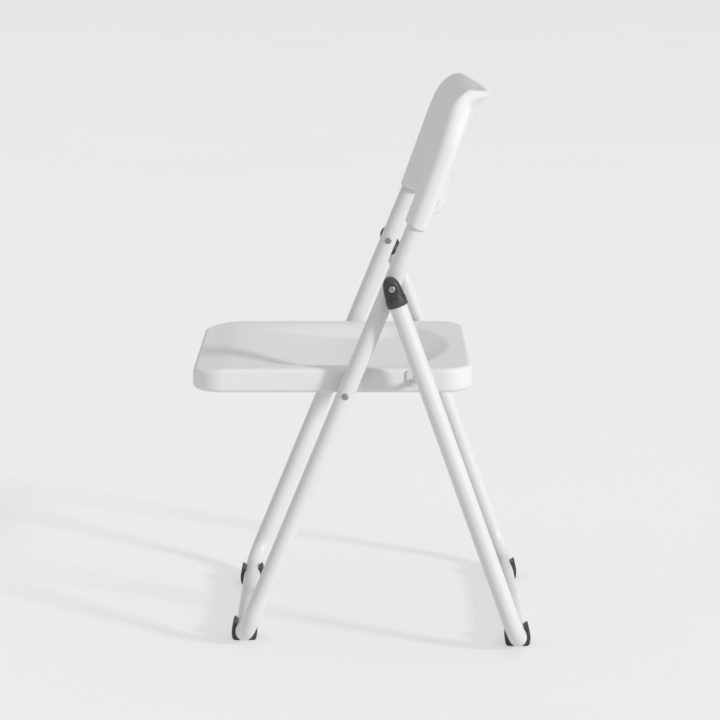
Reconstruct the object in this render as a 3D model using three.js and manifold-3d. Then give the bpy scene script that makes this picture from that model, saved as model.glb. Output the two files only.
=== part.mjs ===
// Folding chair: two bent steel tube frames, a hollow moulded seat and a moulded backrest.
// Millimetres, +Z up, the front of the chair faces -Y, the floor is Z = 0, X = 0 is the plane of symmetry.
import * as THREE from 'three';
import { mergeVertices } from 'three/addons/utils/BufferGeometryUtils.js';
import Module from 'manifold-3d';

const wasm = await Module();
wasm.setup();

// ---------- driving dimensions ----------
const TUBE_R = 12.7;            // 25.4 mm tube
const TUBE_BORE = 11.4;         // 1.3 mm wall
const SIDES = 16;
const BEND_R = 48;              // centre-line radius of the floor bends
const BAR_Z = 16.7;             // centre of the floor bars above the floor
const PIVOT = [39.6, 539.8];    // main pivot, Y and Z
const FRONT_TILT = THREE.MathUtils.degToRad(22.3);
const REAR_TILT = THREE.MathUtils.degToRad(19.57);
const FRONT_X = 208.5;          // half spacing of the front frame's tubes
const REAR_X = 236.3;           // half spacing of the rear frame's tubes
const FRONT_TOP = 188;          // upper ends of the uprights, measured up the tube from the main pivot
const REAR_TOP = 13;            // upper ends of the rear legs, below the main pivot
const SEAT_PIVOT_U = -172;      // seat pivot, measured along the front tube from the main pivot
const REST = [87.5, 405];       // rear rest of the seat, Y and Z
const REST_PIN_R = 4.5;
const SEAT_HALF_W = 190, SEAT_FRONT = -246, SEAT_BACK = 157, SEAT_BOTTOM = 379.2, SEAT_TOP = 414.2;
const SEAT_CORNER = 44, SEAT_EDGE = 7, SEAT_WALL = 3;
const BACK_HALF_W = 224.5, BACK_TOP = 290.2, SLEEVE_LOW = 88, PANEL_LOW = 98;
const BACK_CORNER = 110, BACK_SQUARE = 2.5; // upper corners follow a superellipse of this size and exponent
const FRONT_GLIDE_X = 142, REAR_GLIDE_X = 170, GLIDE_LEN = 30;
const RIVET_R = 3.9, RIVET_HOLE = 4.3;

// ---------- materials ----------
const paint = () => new THREE.MeshStandardMaterial({ color: 0xeeeeee, roughness: 0.42, metalness: 0.0 });
const resin = () => new THREE.MeshStandardMaterial({ color: 0xe9e9e9, roughness: 0.6, metalness: 0.0 });
const black = () => new THREE.MeshStandardMaterial({ color: 0x1b1b1c, roughness: 0.55, metalness: 0.0 });
const zinc = () => new THREE.MeshStandardMaterial({ color: 0xa3a5a7, roughness: 0.38, metalness: 0.9 });

// ---------- solids ----------
function solid(geometry) {
  const m = outward(geometry);
  return new wasm.Manifold(new wasm.Mesh({
    numProp: 3,
    vertProperties: new Float32Array(m.attributes.position.array),
    triVerts: new Uint32Array(m.index.array),
  }));
}
function geometryOf(manifold) {
  const mesh = manifold.getMesh();
  const g = new THREE.BufferGeometry();
  g.setAttribute('position', new THREE.BufferAttribute(new Float32Array(mesh.vertProperties), 3));
  g.setIndex(new THREE.BufferAttribute(new Uint32Array(mesh.triVerts), 1));
  g.computeVertexNormals();
  return g;
}
// cylinder along X
function rodX(r, x0, x1, y, z, sides = 16) {
  const g = new THREE.CylinderGeometry(r, r, Math.abs(x1 - x0), sides);
  g.rotateZ(-Math.PI / 2);
  g.translate((x0 + x1) / 2, y, z);
  return g;
}
// turned profile [[radius, x], ...] about an axis along X through (y, z); sign +1 points to +X
function turnedX(profile, sign, y, z, sides = 16) {
  const g = new THREE.LatheGeometry(profile.map(([r, x]) => new THREE.Vector2(r, x)), sides);
  g.rotateZ(sign > 0 ? -Math.PI / 2 : Math.PI / 2);
  g.translate(0, y, z);
  return g;
}
// turns a closed surface so that its faces point out
function outward(geometry) {
  const g = geometry.index ? geometry.toNonIndexed() : geometry.clone();
  for (const name of Object.keys(g.attributes)) if (name !== 'position') g.deleteAttribute(name);
  const m = mergeVertices(g, 1e-4), p = m.attributes.position.array, idx = Array.from(m.index.array);
  let volume = 0;
  for (let k = 0; k < idx.length; k += 3) {
    const [a, b, c] = [idx[k] * 3, idx[k + 1] * 3, idx[k + 2] * 3];
    volume += p[a] * (p[b + 1] * p[c + 2] - p[b + 2] * p[c + 1])
      - p[a + 1] * (p[b] * p[c + 2] - p[b + 2] * p[c])
      + p[a + 2] * (p[b] * p[c + 1] - p[b + 1] * p[c]);
  }
  if (volume < 0) for (let k = 0; k < idx.length; k += 3) [idx[k + 1], idx[k + 2]] = [idx[k + 2], idx[k + 1]];
  m.setIndex(idx.filter((v, k) => {
    const t = k - (k % 3);
    return idx[t] !== idx[t + 1] && idx[t + 1] !== idx[t + 2] && idx[t] !== idx[t + 2];
  }));
  m.computeVertexNormals();
  return m;
}
// rigid frame carried by a tube: u runs along the tube, v across it towards the back, x sideways
const frontAt = (x, u, v) => new THREE.Vector3(
  x,
  PIVOT[0] + u * Math.sin(FRONT_TILT) + v * Math.cos(FRONT_TILT),
  PIVOT[1] + u * Math.cos(FRONT_TILT) - v * Math.sin(FRONT_TILT),
);
const rearAt = (x, s, v) => new THREE.Vector3(
  x,
  PIVOT[0] + s * Math.sin(REAR_TILT) + v * Math.cos(REAR_TILT),
  PIVOT[1] - s * Math.cos(REAR_TILT) + v * Math.sin(REAR_TILT),
);

// a tube path given by its own stations, so that straight runs stay single steps
class StationCurve extends THREE.Curve {
  constructor(points, tangents) { super(); this.points = points; this.tangents = tangents; }
  pick(list, t) { return list[Math.round(t * (list.length - 1))].clone(); }
  getPoint(t) { return this.pick(this.points, t); }
  getPointAt(t) { return this.pick(this.points, t); }
  getTangent(t) { return this.pick(this.tangents, t); }
  getTangentAt(t) { return this.pick(this.tangents, t); }
}
// U-shaped path: down one side, round two bends, and up the other, in the plane of `at`
function uPath(at, halfX, topA, bar, extra) {
  const flat = [];
  const dir = Math.sign(bar - topA);
  const push = (x, a, tx, ta) => flat.push([x, a, tx, ta]);
  push(halfX, topA - dir * extra, 0, dir);
  push(halfX, topA + (bar - dir * BEND_R - topA) * 0.5, 0, dir);
  const n = 6;
  for (let i = 0; i <= n; i++) {
    const t = (i / n) * Math.PI / 2;
    push(halfX - BEND_R + BEND_R * Math.cos(t), bar - dir * BEND_R + dir * BEND_R * Math.sin(t), -Math.sin(t), dir * Math.cos(t));
  }
  push(0, bar, -1, 0);
  for (let i = n; i >= 0; i--) {
    const t = (i / n) * Math.PI / 2;
    push(-halfX + BEND_R - BEND_R * Math.cos(t), bar - dir * BEND_R + dir * BEND_R * Math.sin(t), -Math.sin(t), -dir * Math.cos(t));
  }
  push(-halfX, topA + (bar - dir * BEND_R - topA) * 0.5, 0, -dir);
  push(-halfX, topA - dir * extra, 0, -dir);
  const o = at(0, 0, 0), ea = at(0, 1, 0).sub(o);
  return new StationCurve(
    flat.map(([x, a]) => at(x, a, 0)),
    flat.map(([, , tx, ta]) => new THREE.Vector3(tx, 0, 0).addScaledVector(ea, ta).normalize()),
  );
}
function round(r, sides = SIDES) {
  const pts = [];
  for (let i = 0; i < sides; i++) {
    const t = ((i + 0.5) / sides) * Math.PI * 2;
    pts.push(new THREE.Vector2(r * Math.cos(t), r * Math.sin(t)));
  }
  return new THREE.Shape(pts);
}
function sweep(curve, r) {
  return new THREE.ExtrudeGeometry(round(r), { steps: curve.points.length - 1, extrudePath: curve, bevelEnabled: false });
}
function hollowU(at, halfX, top, bar) {
  const outer = solid(sweep(uPath(at, halfX, top, bar, 0), TUBE_R));
  const inner = solid(sweep(uPath(at, halfX, top, bar, 4), TUBE_BORE));
  return outer.subtract(inner);
}

// two height sheets over one outline, joined by a rim: columns xs, rows(x), top(x, y) and bottom(x, y)
function pillow(xs, rows, top, bottom, place) {
  const n = xs.length, grid = xs.map((x) => rows(x)), m = grid[0].length;
  const pos = [], idx = [];
  for (const f of [top, bottom]) for (let i = 0; i < n; i++) for (let j = 0; j < m; j++) {
    const p = place(xs[i], grid[i][j], f(xs[i], grid[i][j]));
    pos.push(p.x, p.y, p.z);
  }
  const T = (i, j) => i * m + j, B = (i, j) => n * m + i * m + j;
  for (let i = 0; i < n - 1; i++) for (let j = 0; j < m - 1; j++) {
    idx.push(T(i, j), T(i + 1, j), T(i + 1, j + 1), T(i, j), T(i + 1, j + 1), T(i, j + 1));
    idx.push(B(i, j), B(i + 1, j + 1), B(i + 1, j), B(i, j), B(i, j + 1), B(i + 1, j + 1));
  }
  const rim = [];
  for (let i = 0; i < n - 1; i++) rim.push([[i, 0], [i + 1, 0]]);
  for (let j = 0; j < m - 1; j++) rim.push([[n - 1, j], [n - 1, j + 1]]);
  for (let i = n - 1; i > 0; i--) rim.push([[i, m - 1], [i - 1, m - 1]]);
  for (let j = m - 1; j > 0; j--) rim.push([[0, j], [0, j - 1]]);
  for (const [a, b] of rim) {
    idx.push(T(...a), B(...a), B(...b), T(...a), B(...b), T(...b));
  }
  const p = pos;
  let volume = 0;
  for (let k = 0; k < idx.length; k += 3) {
    const [a, b, c] = [idx[k] * 3, idx[k + 1] * 3, idx[k + 2] * 3];
    volume += p[a] * (p[b + 1] * p[c + 2] - p[b + 2] * p[c + 1])
      - p[a + 1] * (p[b] * p[c + 2] - p[b + 2] * p[c])
      + p[a + 2] * (p[b] * p[c + 1] - p[b + 1] * p[c]);
  }
  if (volume < 0) for (let k = 0; k < idx.length; k += 3) [idx[k + 1], idx[k + 2]] = [idx[k + 2], idx[k + 1]];
  const g = new THREE.BufferGeometry();
  g.setAttribute('position', new THREE.BufferAttribute(new Float32Array(pos), 3));
  g.setIndex(idx);
  return g;
}
// distance inside a rounded rectangle
function inside(x, y, hx, y0, y1, r) {
  const cy = (y0 + y1) / 2, hy = (y1 - y0) / 2;
  const qx = Math.abs(x) - hx + r, qy = Math.abs(y - cy) - hy + r;
  return -(Math.hypot(Math.max(qx, 0), Math.max(qy, 0)) + Math.min(Math.max(qx, qy), 0) - r);
}
const roundEdge = (d, r) => (d >= r ? r : Math.sqrt(Math.max(0, r * r - (r - Math.max(d, 0)) ** 2)));
const smooth = (a, b, x) => { const t = Math.min(1, Math.max(0, (x - a) / (b - a))); return t * t * (3 - 2 * t); };
function spread(a, b, edges, n) {
  const out = [...edges.map((e) => a + e)];
  const lo = a + edges[edges.length - 1], hi = b - edges[edges.length - 1];
  for (let i = 1; i < n; i++) out.push(lo + (hi - lo) * i / n);
  for (let i = edges.length - 1; i >= 0; i--) out.push(b - edges[i]);
  return out;
}

// ---------- seat ----------
function dish(x, y) {
  // shallow scoop, deepest a little behind the middle, with a rounded rear bank
  const back = 127 - 33 * (x / 123) ** 2;
  const side = 1 - smooth(108, 166, Math.abs(x));
  const q = (back - y) / 50, t = Math.min(1, (q + Math.sqrt(q * q + 0.003)) / 2);
  const rear = 1 - (1 - t) ** 1.25;
  const front = smooth(-205, -20, y);
  return 14.5 * side * rear * front;
}
const waterfall = (y) => 5 * (1 - smooth(SEAT_FRONT, SEAT_FRONT + 70, y)) ** 1.5;
function seatOutline(hx, y0, y1, r, edges, n) {
  return {
    xs: spread(-hx, hx, edges, n),
    rows: (x) => {
      const over = Math.max(0, Math.abs(x) - (hx - r));
      const cut = r - Math.sqrt(Math.max(0, r * r - over * over));
      return spread(y0 + cut, y1 - cut, edges, n);
    },
  };
}
function seatSolid(off) {
  const hx = SEAT_HALF_W - off, y0 = SEAT_FRONT + off, y1 = SEAT_BACK - off, r = SEAT_CORNER - off;
  const e = Math.max(SEAT_EDGE - off, 2), half = (SEAT_TOP - SEAT_BOTTOM) / 2 - off, mid = (SEAT_TOP + SEAT_BOTTOM) / 2;
  const o = off ? seatOutline(hx, y0, y1, r, [0, 1.2, 4, 10], 15) : seatOutline(hx, y0, y1, r, [0, 0.6, 2, 4.3, 8], 15);
  const lift = (x, y) => half - e + roundEdge(inside(x, y, hx, y0, y1, r), e);
  return pillow(o.xs, o.rows,
    (x, y) => mid + lift(x, y) - dish(x, y) - waterfall(y),
    (x, y) => mid - lift(x, y),
    (x, y, z) => new THREE.Vector3(x, y, z));
}
const seatPivot = frontAt(0, SEAT_PIVOT_U, 0);
const bracketScrews = [[seatPivot.y + 0.2, 394], [seatPivot.y + 10.8, 394]];
const restScrews = [[67, 396], [75, 405]];
const BLOW = [0, 60];

function makeSeat() {
  let s = solid(seatSolid(0)).subtract(solid(seatSolid(SEAT_WALL)));
  for (const [y, z] of [...bracketScrews, ...restScrews]) for (const side of [1, -1]) {
    s = s.subtract(solid(rodX(2.15, side * 180, side * 196, y, z, 10)));
  }
  // pocket for the inner head of the seat pivot rivet
  for (const side of [1, -1]) s = s.subtract(solid(rodX(5.4, side * 188.2, side * 196, seatPivot.y, seatPivot.z)));
  const hole = new THREE.CylinderGeometry(5.4, 5.4, 12, 14);
  hole.rotateX(Math.PI / 2);
  hole.translate(BLOW[0], BLOW[1], SEAT_BOTTOM + 1);
  return geometryOf(s.subtract(solid(hole)));
}
function makeBlowPlug() {
  const g = new THREE.LatheGeometry([[0, 5], [4.9, 5], [4.9, -0.4], [7.5, -0.4], [7.2, -1.6], [0, -1.6]].map(([r, z]) => new THREE.Vector2(r, z)), 14);
  g.rotateX(Math.PI / 2);
  g.translate(BLOW[0], BLOW[1], SEAT_BOTTOM);
  return g;
}
// flat plate from an outline in the YZ plane, lying against the seat's side wall
function plate(shape, side, x0, x1) {
  const g = new THREE.ExtrudeGeometry(shape, { depth: x1 - x0, bevelEnabled: false, curveSegments: 8 });
  // shape x -> Y, shape y -> Z, extrusion -> X
  g.applyMatrix4(new THREE.Matrix4().makeBasis(new THREE.Vector3(0, 1, 0), new THREE.Vector3(0, 0, 1), new THREE.Vector3(1, 0, 0)));
  g.translate(side > 0 ? x0 : -x1, 0, 0);
  return g;
}
const PLATE = [SEAT_HALF_W + 0.3, SEAT_HALF_W + 2.8];
function makeHingeBracket(side) {
  // leans with the front tube, which it stands behind
  const { y, z } = seatPivot, w = 11, lean = 8.2;
  const s = new THREE.Shape();
  s.moveTo(y + w, z);
  s.lineTo(y + w + lean * 0.85, z + 17);
  s.quadraticCurveTo(y + w + lean, z + 20, y + w + lean - 3, z + 20);
  s.lineTo(y - w + lean + 3, z + 20);
  s.quadraticCurveTo(y - w + lean, z + 20, y - w + lean * 0.85, z + 17);
  s.lineTo(y - w, z);
  s.absarc(y, z, w, Math.PI, Math.PI * 2, false);
  let m = solid(plate(s, side, ...PLATE));
  m = m.subtract(solid(rodX(RIVET_HOLE, side * 188, side * 196, y, z)));
  for (const [a, b] of bracketScrews) m = m.subtract(solid(rodX(2.15, side * 188, side * 196, a, b, 10)));
  return geometryOf(m);
}
function makeRestPlate(side) {
  const [ry, rz] = REST, r = REST_PIN_R + 0.6;
  const s = new THREE.Shape();
  s.moveTo(64, 390);
  s.lineTo(75.6, 390);
  s.lineTo(ry - r * 0.93, rz + 1.2);
  s.absarc(ry, rz, r, Math.PI - 0.2, 0.02, true);
  s.lineTo(90.6, 398.5);
  s.lineTo(95.5, 398.5);
  s.lineTo(99, 404);
  s.lineTo(99, 410);
  s.quadraticCurveTo(99, 413, 96, 413);
  s.lineTo(66, 413);
  s.quadraticCurveTo(61, 413, 61, 408);
  s.lineTo(61, 393);
  s.quadraticCurveTo(61, 390, 64, 390);
  let m = solid(plate(s, side, ...PLATE));
  for (const [a, b] of restScrews) m = m.subtract(solid(rodX(2.15, side * 188, side * 196, a, b, 10)));
  return geometryOf(m);
}
// pan-head screw along X, head outside
const wallScrew = (side, y, z) => turnedX([[0, 183], [1.75, 184.5], [1.75, 193.1], [3.5, 193.1], [3.2, 194.2], [2.0, 194.7], [0, 194.8]], side, y, z, 12);

// ---------- backrest ----------
const blendX = (x) => (Math.abs(x) >= 200 ? 0 : Math.cos(Math.PI * x / 400) ** 2);
const sleeveFront = (u) => -(16 + 0.044 * (u - 88));
const sleeveRear = (u) => 16.3 - 2.6 * smooth(88, 190, u) - 1.5 * smooth(192, 240, u);
function backMid(x, u) {
  const side = (sleeveFront(u) + sleeveRear(u)) / 2;
  const middle = 19.4 + 13.4 * (1 - smooth(112, 172, u)) + 14.7 * smooth(265, 290.2, u);
  return side + (middle - side) * blendX(x);
}
function backHalf(x, u) {
  const sleeve = (sleeveRear(u) - sleeveFront(u)) / 2;
  return 10 + (sleeve - 10) * smooth(150, 196, Math.abs(x));
}
const backLow = (x) => SLEEVE_LOW + (PANEL_LOW - SLEEVE_LOW) * (1 - smooth(180, 193, Math.abs(x)));
function backEdge(x, u, r = 16, power = 2.5) {
  const side = BACK_HALF_W - Math.abs(x), top = BACK_TOP - u, low = u - backLow(x);
  let d = Math.min(side, top);
  const qx = Math.abs(x) - (BACK_HALF_W - BACK_CORNER), qu = u - (BACK_TOP - BACK_CORNER);
  if (qx > 0 && qu > 0) d = BACK_CORNER - (qx ** BACK_SQUARE + qu ** BACK_SQUARE) ** (1 / BACK_SQUARE);
  const f = (t, r, n) => (t >= r ? 1 : (1 - (1 - Math.max(t, 0) / r) ** n) ** (1 / n));
  const lowR = 9 - 6.5 * smooth(178, 195, Math.abs(x));
  return Math.max(0.12, f(d, r, power)) * Math.max(0.5 + 0.3 * smooth(178, 195, Math.abs(x)), f(low, lowR, 2.2));
}
const SCREW_U = 132;
const cornerCut = (x) => {
  const over = Math.max(0, Math.abs(x) - (BACK_HALF_W - BACK_CORNER));
  return BACK_CORNER - Math.max(0, BACK_CORNER ** BACK_SQUARE - over ** BACK_SQUARE) ** (1 / BACK_SQUARE);
};
function makeBackrest() {
  const xs = spread(-BACK_HALF_W, BACK_HALF_W, [0, 0.5, 1.6, 3.4, 6.5, 11, 17, 24, 32, 42, 56, 74, 94], 7);
  const rows = (x) => {
    const a = backLow(x), b = BACK_TOP - cornerCut(x);
    return [a, a + 1, a + 4, a + 9, ...[0.14, 0.26, 0.38, 0.5, 0.62, 0.74, 0.84].map((k) => a + (b - a) * k), ...[0.9, 0.945, 0.975, 0.992, 1].map((k) => a + (b - a) * k)];
  };
  let m = solid(pillow(xs, rows,
    (x, u) => backMid(x, u) + backHalf(x, u) * backEdge(x, u),
    (x, u) => backMid(x, u) - backHalf(x, u) * backEdge(x, u, 24, 2),
    frontAt));
  // hollow of the panel, with its blow hole in the lower edge
  const cx = spread(-183, 183, [0, 5, 14], 6);
  const thin = (x, u) => backHalf(x, u) * backEdge(x, u, 24, 2) - 3.2;
  const hollowTop = (x) => BACK_TOP - cornerCut(x) - 8;
  m = m.subtract(solid(pillow(cx, (x) => [PANEL_LOW + 5, PANEL_LOW + 9, 124, 150, 180, ...[0.33, 0.62, 0.82, 0.94, 1].map((k) => 180 + (hollowTop(x) - 180) * k)],
    (x, u) => backMid(x, u) + thin(x, u), (x, u) => backMid(x, u) - thin(x, u), frontAt)));
  const blow = backMid(0, PANEL_LOW + 2), up = new THREE.Vector3(0, Math.sin(FRONT_TILT), Math.cos(FRONT_TILT));
  m = m.subtract(solid(sweep(new StationCurve([frontAt(0, 90, blow), frontAt(0, 110, blow)], [up, up]), 4)));
  for (const side of [1, -1]) {
    const path = new StationCurve([frontAt(side * FRONT_X, 80, 0), frontAt(side * FRONT_X, 192, 0)],
      [0, 1].map(() => new THREE.Vector3(0, Math.sin(FRONT_TILT), Math.cos(FRONT_TILT))));
    m = m.subtract(solid(sweep(path, TUBE_R + 0.4)));
    m = m.subtract(solid(across(2.35, side * FRONT_X, SCREW_U, 6, 30)));
  }
  return geometryOf(m);
}
// cylinder across the front tube, along v
function across(r, x, u, v0, v1, sides = 10) {
  const g = new THREE.CylinderGeometry(r, r, v1 - v0, sides);
  g.rotateX(-FRONT_TILT);
  const c = frontAt(x, u, (v0 + v1) / 2);
  g.translate(c.x, c.y, c.z);
  return g;
}
function makeBackScrew(side) {
  const v = backMid(FRONT_X, SCREW_U) + backHalf(FRONT_X, SCREW_U) * backEdge(FRONT_X, SCREW_U) + 0.35;
  const g = new THREE.LatheGeometry([[0, -9.5], [1.9, -8], [1.9, 0], [4.0, 0], [3.5, 0.7], [0, 0.9]].map(([r, z]) => new THREE.Vector2(r, z)), 12);
  g.rotateX(-FRONT_TILT); // the turning axis now runs along +v
  const c = frontAt(side * FRONT_X, SCREW_U, v);
  g.translate(c.x, c.y, c.z);
  return g;
}
function makeEndPlug(side) {
  const g = new THREE.LatheGeometry([[0, FRONT_TOP - 14], [9.4, FRONT_TOP - 14], [10.8, FRONT_TOP - 11], [10.8, FRONT_TOP + 0.4], [12.4, FRONT_TOP + 0.4], [12.4, FRONT_TOP + 2.4], [0, FRONT_TOP + 2.4]].map(([r, z]) => new THREE.Vector2(r, z)), SIDES);
  g.rotateX(Math.PI / 2);
  g.rotateX(-FRONT_TILT);
  g.translate(side * FRONT_X, PIVOT[0], PIVOT[1]);
  return g;
}

// ---------- frames ----------
const FRONT_BAR_U = -(PIVOT[1] - BAR_Z) / Math.cos(FRONT_TILT);
const REAR_BAR_S = (PIVOT[1] - BAR_Z) / Math.cos(REAR_TILT);
function makeFrontTube() {
  let m = hollowU(frontAt, FRONT_X, FRONT_TOP, FRONT_BAR_U);
  for (const side of [1, -1]) {
    m = m.subtract(solid(rodX(RIVET_HOLE, side * 190, side * 226, PIVOT[0], PIVOT[1])));
    m = m.subtract(solid(rodX(RIVET_HOLE, side * 190, side * 226, seatPivot.y, seatPivot.z)));
    m = m.subtract(solid(across(2.35, side * FRONT_X, SCREW_U, 5, 20)));
  }
  return geometryOf(m);
}
function makeRearTube() {
  let m = hollowU(rearAt, REAR_X, REAR_TOP, REAR_BAR_S);
  for (const side of [1, -1]) {
    m = m.subtract(solid(rodX(3.6, side * 218, side * 230, REST[0], REST[1])));
  }
  return geometryOf(m);
}
// pivot cap: a collar round the tube end, a spigot inside it, and a rounded tongue that carries the rivet
const TONGUE = [222.9, 249.5];
function makeCap(side) {
  const turned = (profile) => {
    const g = new THREE.LatheGeometry(profile.map(([r, z]) => new THREE.Vector2(r, z)), 20);
    g.rotateX(Math.PI / 2);
    g.rotateX(REAR_TILT);
    g.translate(side * REAR_X, PIVOT[0], PIVOT[1]);
    return solid(g);
  };
  const socket = turned([[0, -30], [9.8, -30], [10.9, -28], [10.9, -12.6], [13.1, -12.6], [13.1, -27], [14.5, -27], [14.8, -25.8], [14.8, -15.8], [14.2, -15], [13.6, -11.8], [0, -11.8]]);
  const envelope = turned([[0, -13.4], [14.2, -13.4], [14.2, 18], [0, 18]]);
  const s = new THREE.Shape();
  s.moveTo(-13.4, -14);
  s.lineTo(13.4, -14);
  s.lineTo(11.4, 4.6);
  s.absarc(0, 4.6, 11.4, 0, Math.PI, false);
  s.lineTo(-13.4, -14);
  const g = new THREE.ExtrudeGeometry(s, { depth: TONGUE[1] - TONGUE[0], bevelEnabled: false, curveSegments: 9 });
  g.applyMatrix4(new THREE.Matrix4().makeBasis(new THREE.Vector3(0, 1, 0), new THREE.Vector3(0, 0, 1), new THREE.Vector3(1, 0, 0)));
  g.rotateX(REAR_TILT);
  g.translate(side > 0 ? TONGUE[0] : -TONGUE[1], PIVOT[0], PIVOT[1]);
  const sleeve = turned([[10.9, -34], [13.1, -34], [13.1, -12.6], [10.9, -12.6], [10.9, -34]]);
  const tongue = solid(g).intersect(envelope).subtract(sleeve);
  return geometryOf(socket.add(tongue).subtract(solid(rodX(RIVET_HOLE, side * 216, side * 256, PIVOT[0], PIVOT[1]))));
}
const makePivotWasher = (side) => turnedX([[4.35, 221.5], [8, 221.5], [8, 222.6], [4.35, 222.6], [4.35, 221.5]], side, PIVOT[0], PIVOT[1]);
function makeGlide(x, y) {
  // saddle clipped over the floor bar from below: flat sole, two wings, open on top
  const r = TUBE_R + 0.35, s = new THREE.Shape();
  s.moveTo(-12.5, 0);
  s.lineTo(12.5, 0);
  s.quadraticCurveTo(16.5, 0.6, 17.6, 4.5);
  s.lineTo(18.7, 11);
  s.lineTo(18.3, 17);
  s.lineTo(16.2, 27);
  s.quadraticCurveTo(15.6, 29.4, 13.6, 28.6);
  const a0 = Math.asin(8.6 / r);
  s.lineTo(r * Math.cos(a0), BAR_Z + r * Math.sin(a0));
  s.absarc(0, BAR_Z, r, a0, Math.PI - a0, true);
  s.lineTo(-13.6, 28.6);
  s.quadraticCurveTo(-15.6, 29.4, -16.2, 27);
  s.lineTo(-18.3, 17);
  s.lineTo(-18.7, 11);
  s.lineTo(-17.6, 4.5);
  s.quadraticCurveTo(-16.5, 0.6, -12.5, 0);
  const g = new THREE.ExtrudeGeometry(s, { depth: GLIDE_LEN, bevelEnabled: false, curveSegments: 10 });
  g.applyMatrix4(new THREE.Matrix4().makeBasis(new THREE.Vector3(0, 1, 0), new THREE.Vector3(0, 0, 1), new THREE.Vector3(1, 0, 0)));
  g.translate(x - GLIDE_LEN / 2, y, 0);
  return g;
}
// rivet along X: shank with a low dome at each end
function rivet(side, y, z, x0, x1, r, head, h0, h1) {
  return turnedX([[0, x0 - h0], [head * 0.55, x0 - h0 * 0.9], [head * 0.9, x0 - h0 * 0.45], [head, x0], [r, x0], [r, x1], [head, x1], [head * 0.9, x1 + h1 * 0.45], [head * 0.55, x1 + h1 * 0.9], [0, x1 + h1]], side, y, z);
}
const makeMainRivet = (side) => rivet(side, PIVOT[0], PIVOT[1], 195.5, 249.8, RIVET_R, 5.0, 1.6, 1.5);
const makeSeatRivet = (side) => rivet(side, seatPivot.y, seatPivot.z, 190.0, 221.4, RIVET_R, 4.6, 1.4, 1.5);
function makeBush(side) {
  return turnedX([[4.35, 193.1], [7.4, 193.1], [7.4, 195.4], [4.35, 195.4], [4.35, 193.1]], side, seatPivot.y, seatPivot.z);
}
const makeRestPin = (side) => turnedX([[0, 190.5], [REST_PIN_R - 0.6, 190.5], [REST_PIN_R, 191.1], [REST_PIN_R, 221.5], [5.6, 221.5], [5.6, 223.2], [3.2, 223.2], [3.2, 229], [0, 229]], side, REST[0], REST[1]);

// ---------- assembly ----------
const chair = new THREE.Group();
chair.name = 'folding_chair';
const front = new THREE.Group(), rear = new THREE.Group(), seat = new THREE.Group();
chair.add(front, rear, seat);
function add(group, name, geometry, material) {
  const mesh = new THREE.Mesh(outward(geometry), material);
  mesh.name = name;
  group.add(mesh);
}
add(front, 'front_frame_tube', makeFrontTube(), paint());
add(front, 'backrest', makeBackrest(), resin());
add(rear, 'rear_frame_tube', makeRearTube(), paint());
add(seat, 'seat_shell', makeSeat(), resin());
add(seat, 'blow_hole_plug', makeBlowPlug(), resin());
const frontBarY = frontAt(0, FRONT_BAR_U, 0).y, rearBarY = rearAt(0, REAR_BAR_S, 0).y;
for (const [label, side] of [['left', 1], ['right', -1]]) {
  add(front, `upright_end_plug_${label}`, makeEndPlug(side), black());
  add(front, `backrest_screw_${label}`, makeBackScrew(side), paint());
  add(front, `front_glide_${label}`, makeGlide(side * FRONT_GLIDE_X, frontBarY), black());
  add(front, `main_pivot_rivet_${label}`, makeMainRivet(side), zinc());
  add(front, `seat_pivot_rivet_${label}`, makeSeatRivet(side), zinc());
  add(rear, `rear_leg_cap_${label}`, makeCap(side), black());
  add(rear, `pivot_washer_${label}`, makePivotWasher(side), zinc());
  add(rear, `rear_glide_${label}`, makeGlide(side * REAR_GLIDE_X, rearBarY), black());
  add(rear, `seat_rest_pin_${label}`, makeRestPin(side), paint());
  add(seat, `seat_hinge_bracket_${label}`, makeHingeBracket(side), paint());
  add(seat, `seat_rest_plate_${label}`, makeRestPlate(side), paint());
  add(seat, `seat_pivot_bush_${label}`, makeBush(side), black());
  bracketScrews.forEach(([y, z], i) => add(seat, `hinge_bracket_screw_${i ? 'rear' : 'front'}_${label}`, wallScrew(side, y, z), paint()));
  restScrews.forEach(([y, z], i) => add(seat, `rest_plate_screw_${i ? 'upper' : 'lower'}_${label}`, wallScrew(side, y, z), paint()));
}

export default chair;
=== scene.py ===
import math
import bpy, bmesh
import numpy as np
from mathutils import Matrix, Vector


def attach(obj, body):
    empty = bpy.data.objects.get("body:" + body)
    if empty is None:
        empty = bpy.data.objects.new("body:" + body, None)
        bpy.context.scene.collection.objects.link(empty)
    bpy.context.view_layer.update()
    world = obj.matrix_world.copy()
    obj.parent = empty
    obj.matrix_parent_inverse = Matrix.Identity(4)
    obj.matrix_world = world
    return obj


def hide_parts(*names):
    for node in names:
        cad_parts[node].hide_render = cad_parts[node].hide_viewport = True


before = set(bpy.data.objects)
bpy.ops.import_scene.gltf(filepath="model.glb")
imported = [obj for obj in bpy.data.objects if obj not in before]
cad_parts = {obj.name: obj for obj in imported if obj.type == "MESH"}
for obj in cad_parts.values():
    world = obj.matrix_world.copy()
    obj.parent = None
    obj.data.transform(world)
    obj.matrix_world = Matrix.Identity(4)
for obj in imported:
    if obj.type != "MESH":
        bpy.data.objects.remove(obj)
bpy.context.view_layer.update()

QUICK = False            # every cut is fast enough to make each time, so QUICK stays off and the full shapes are always made
MM = 0.001
scene = bpy.context.scene

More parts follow.
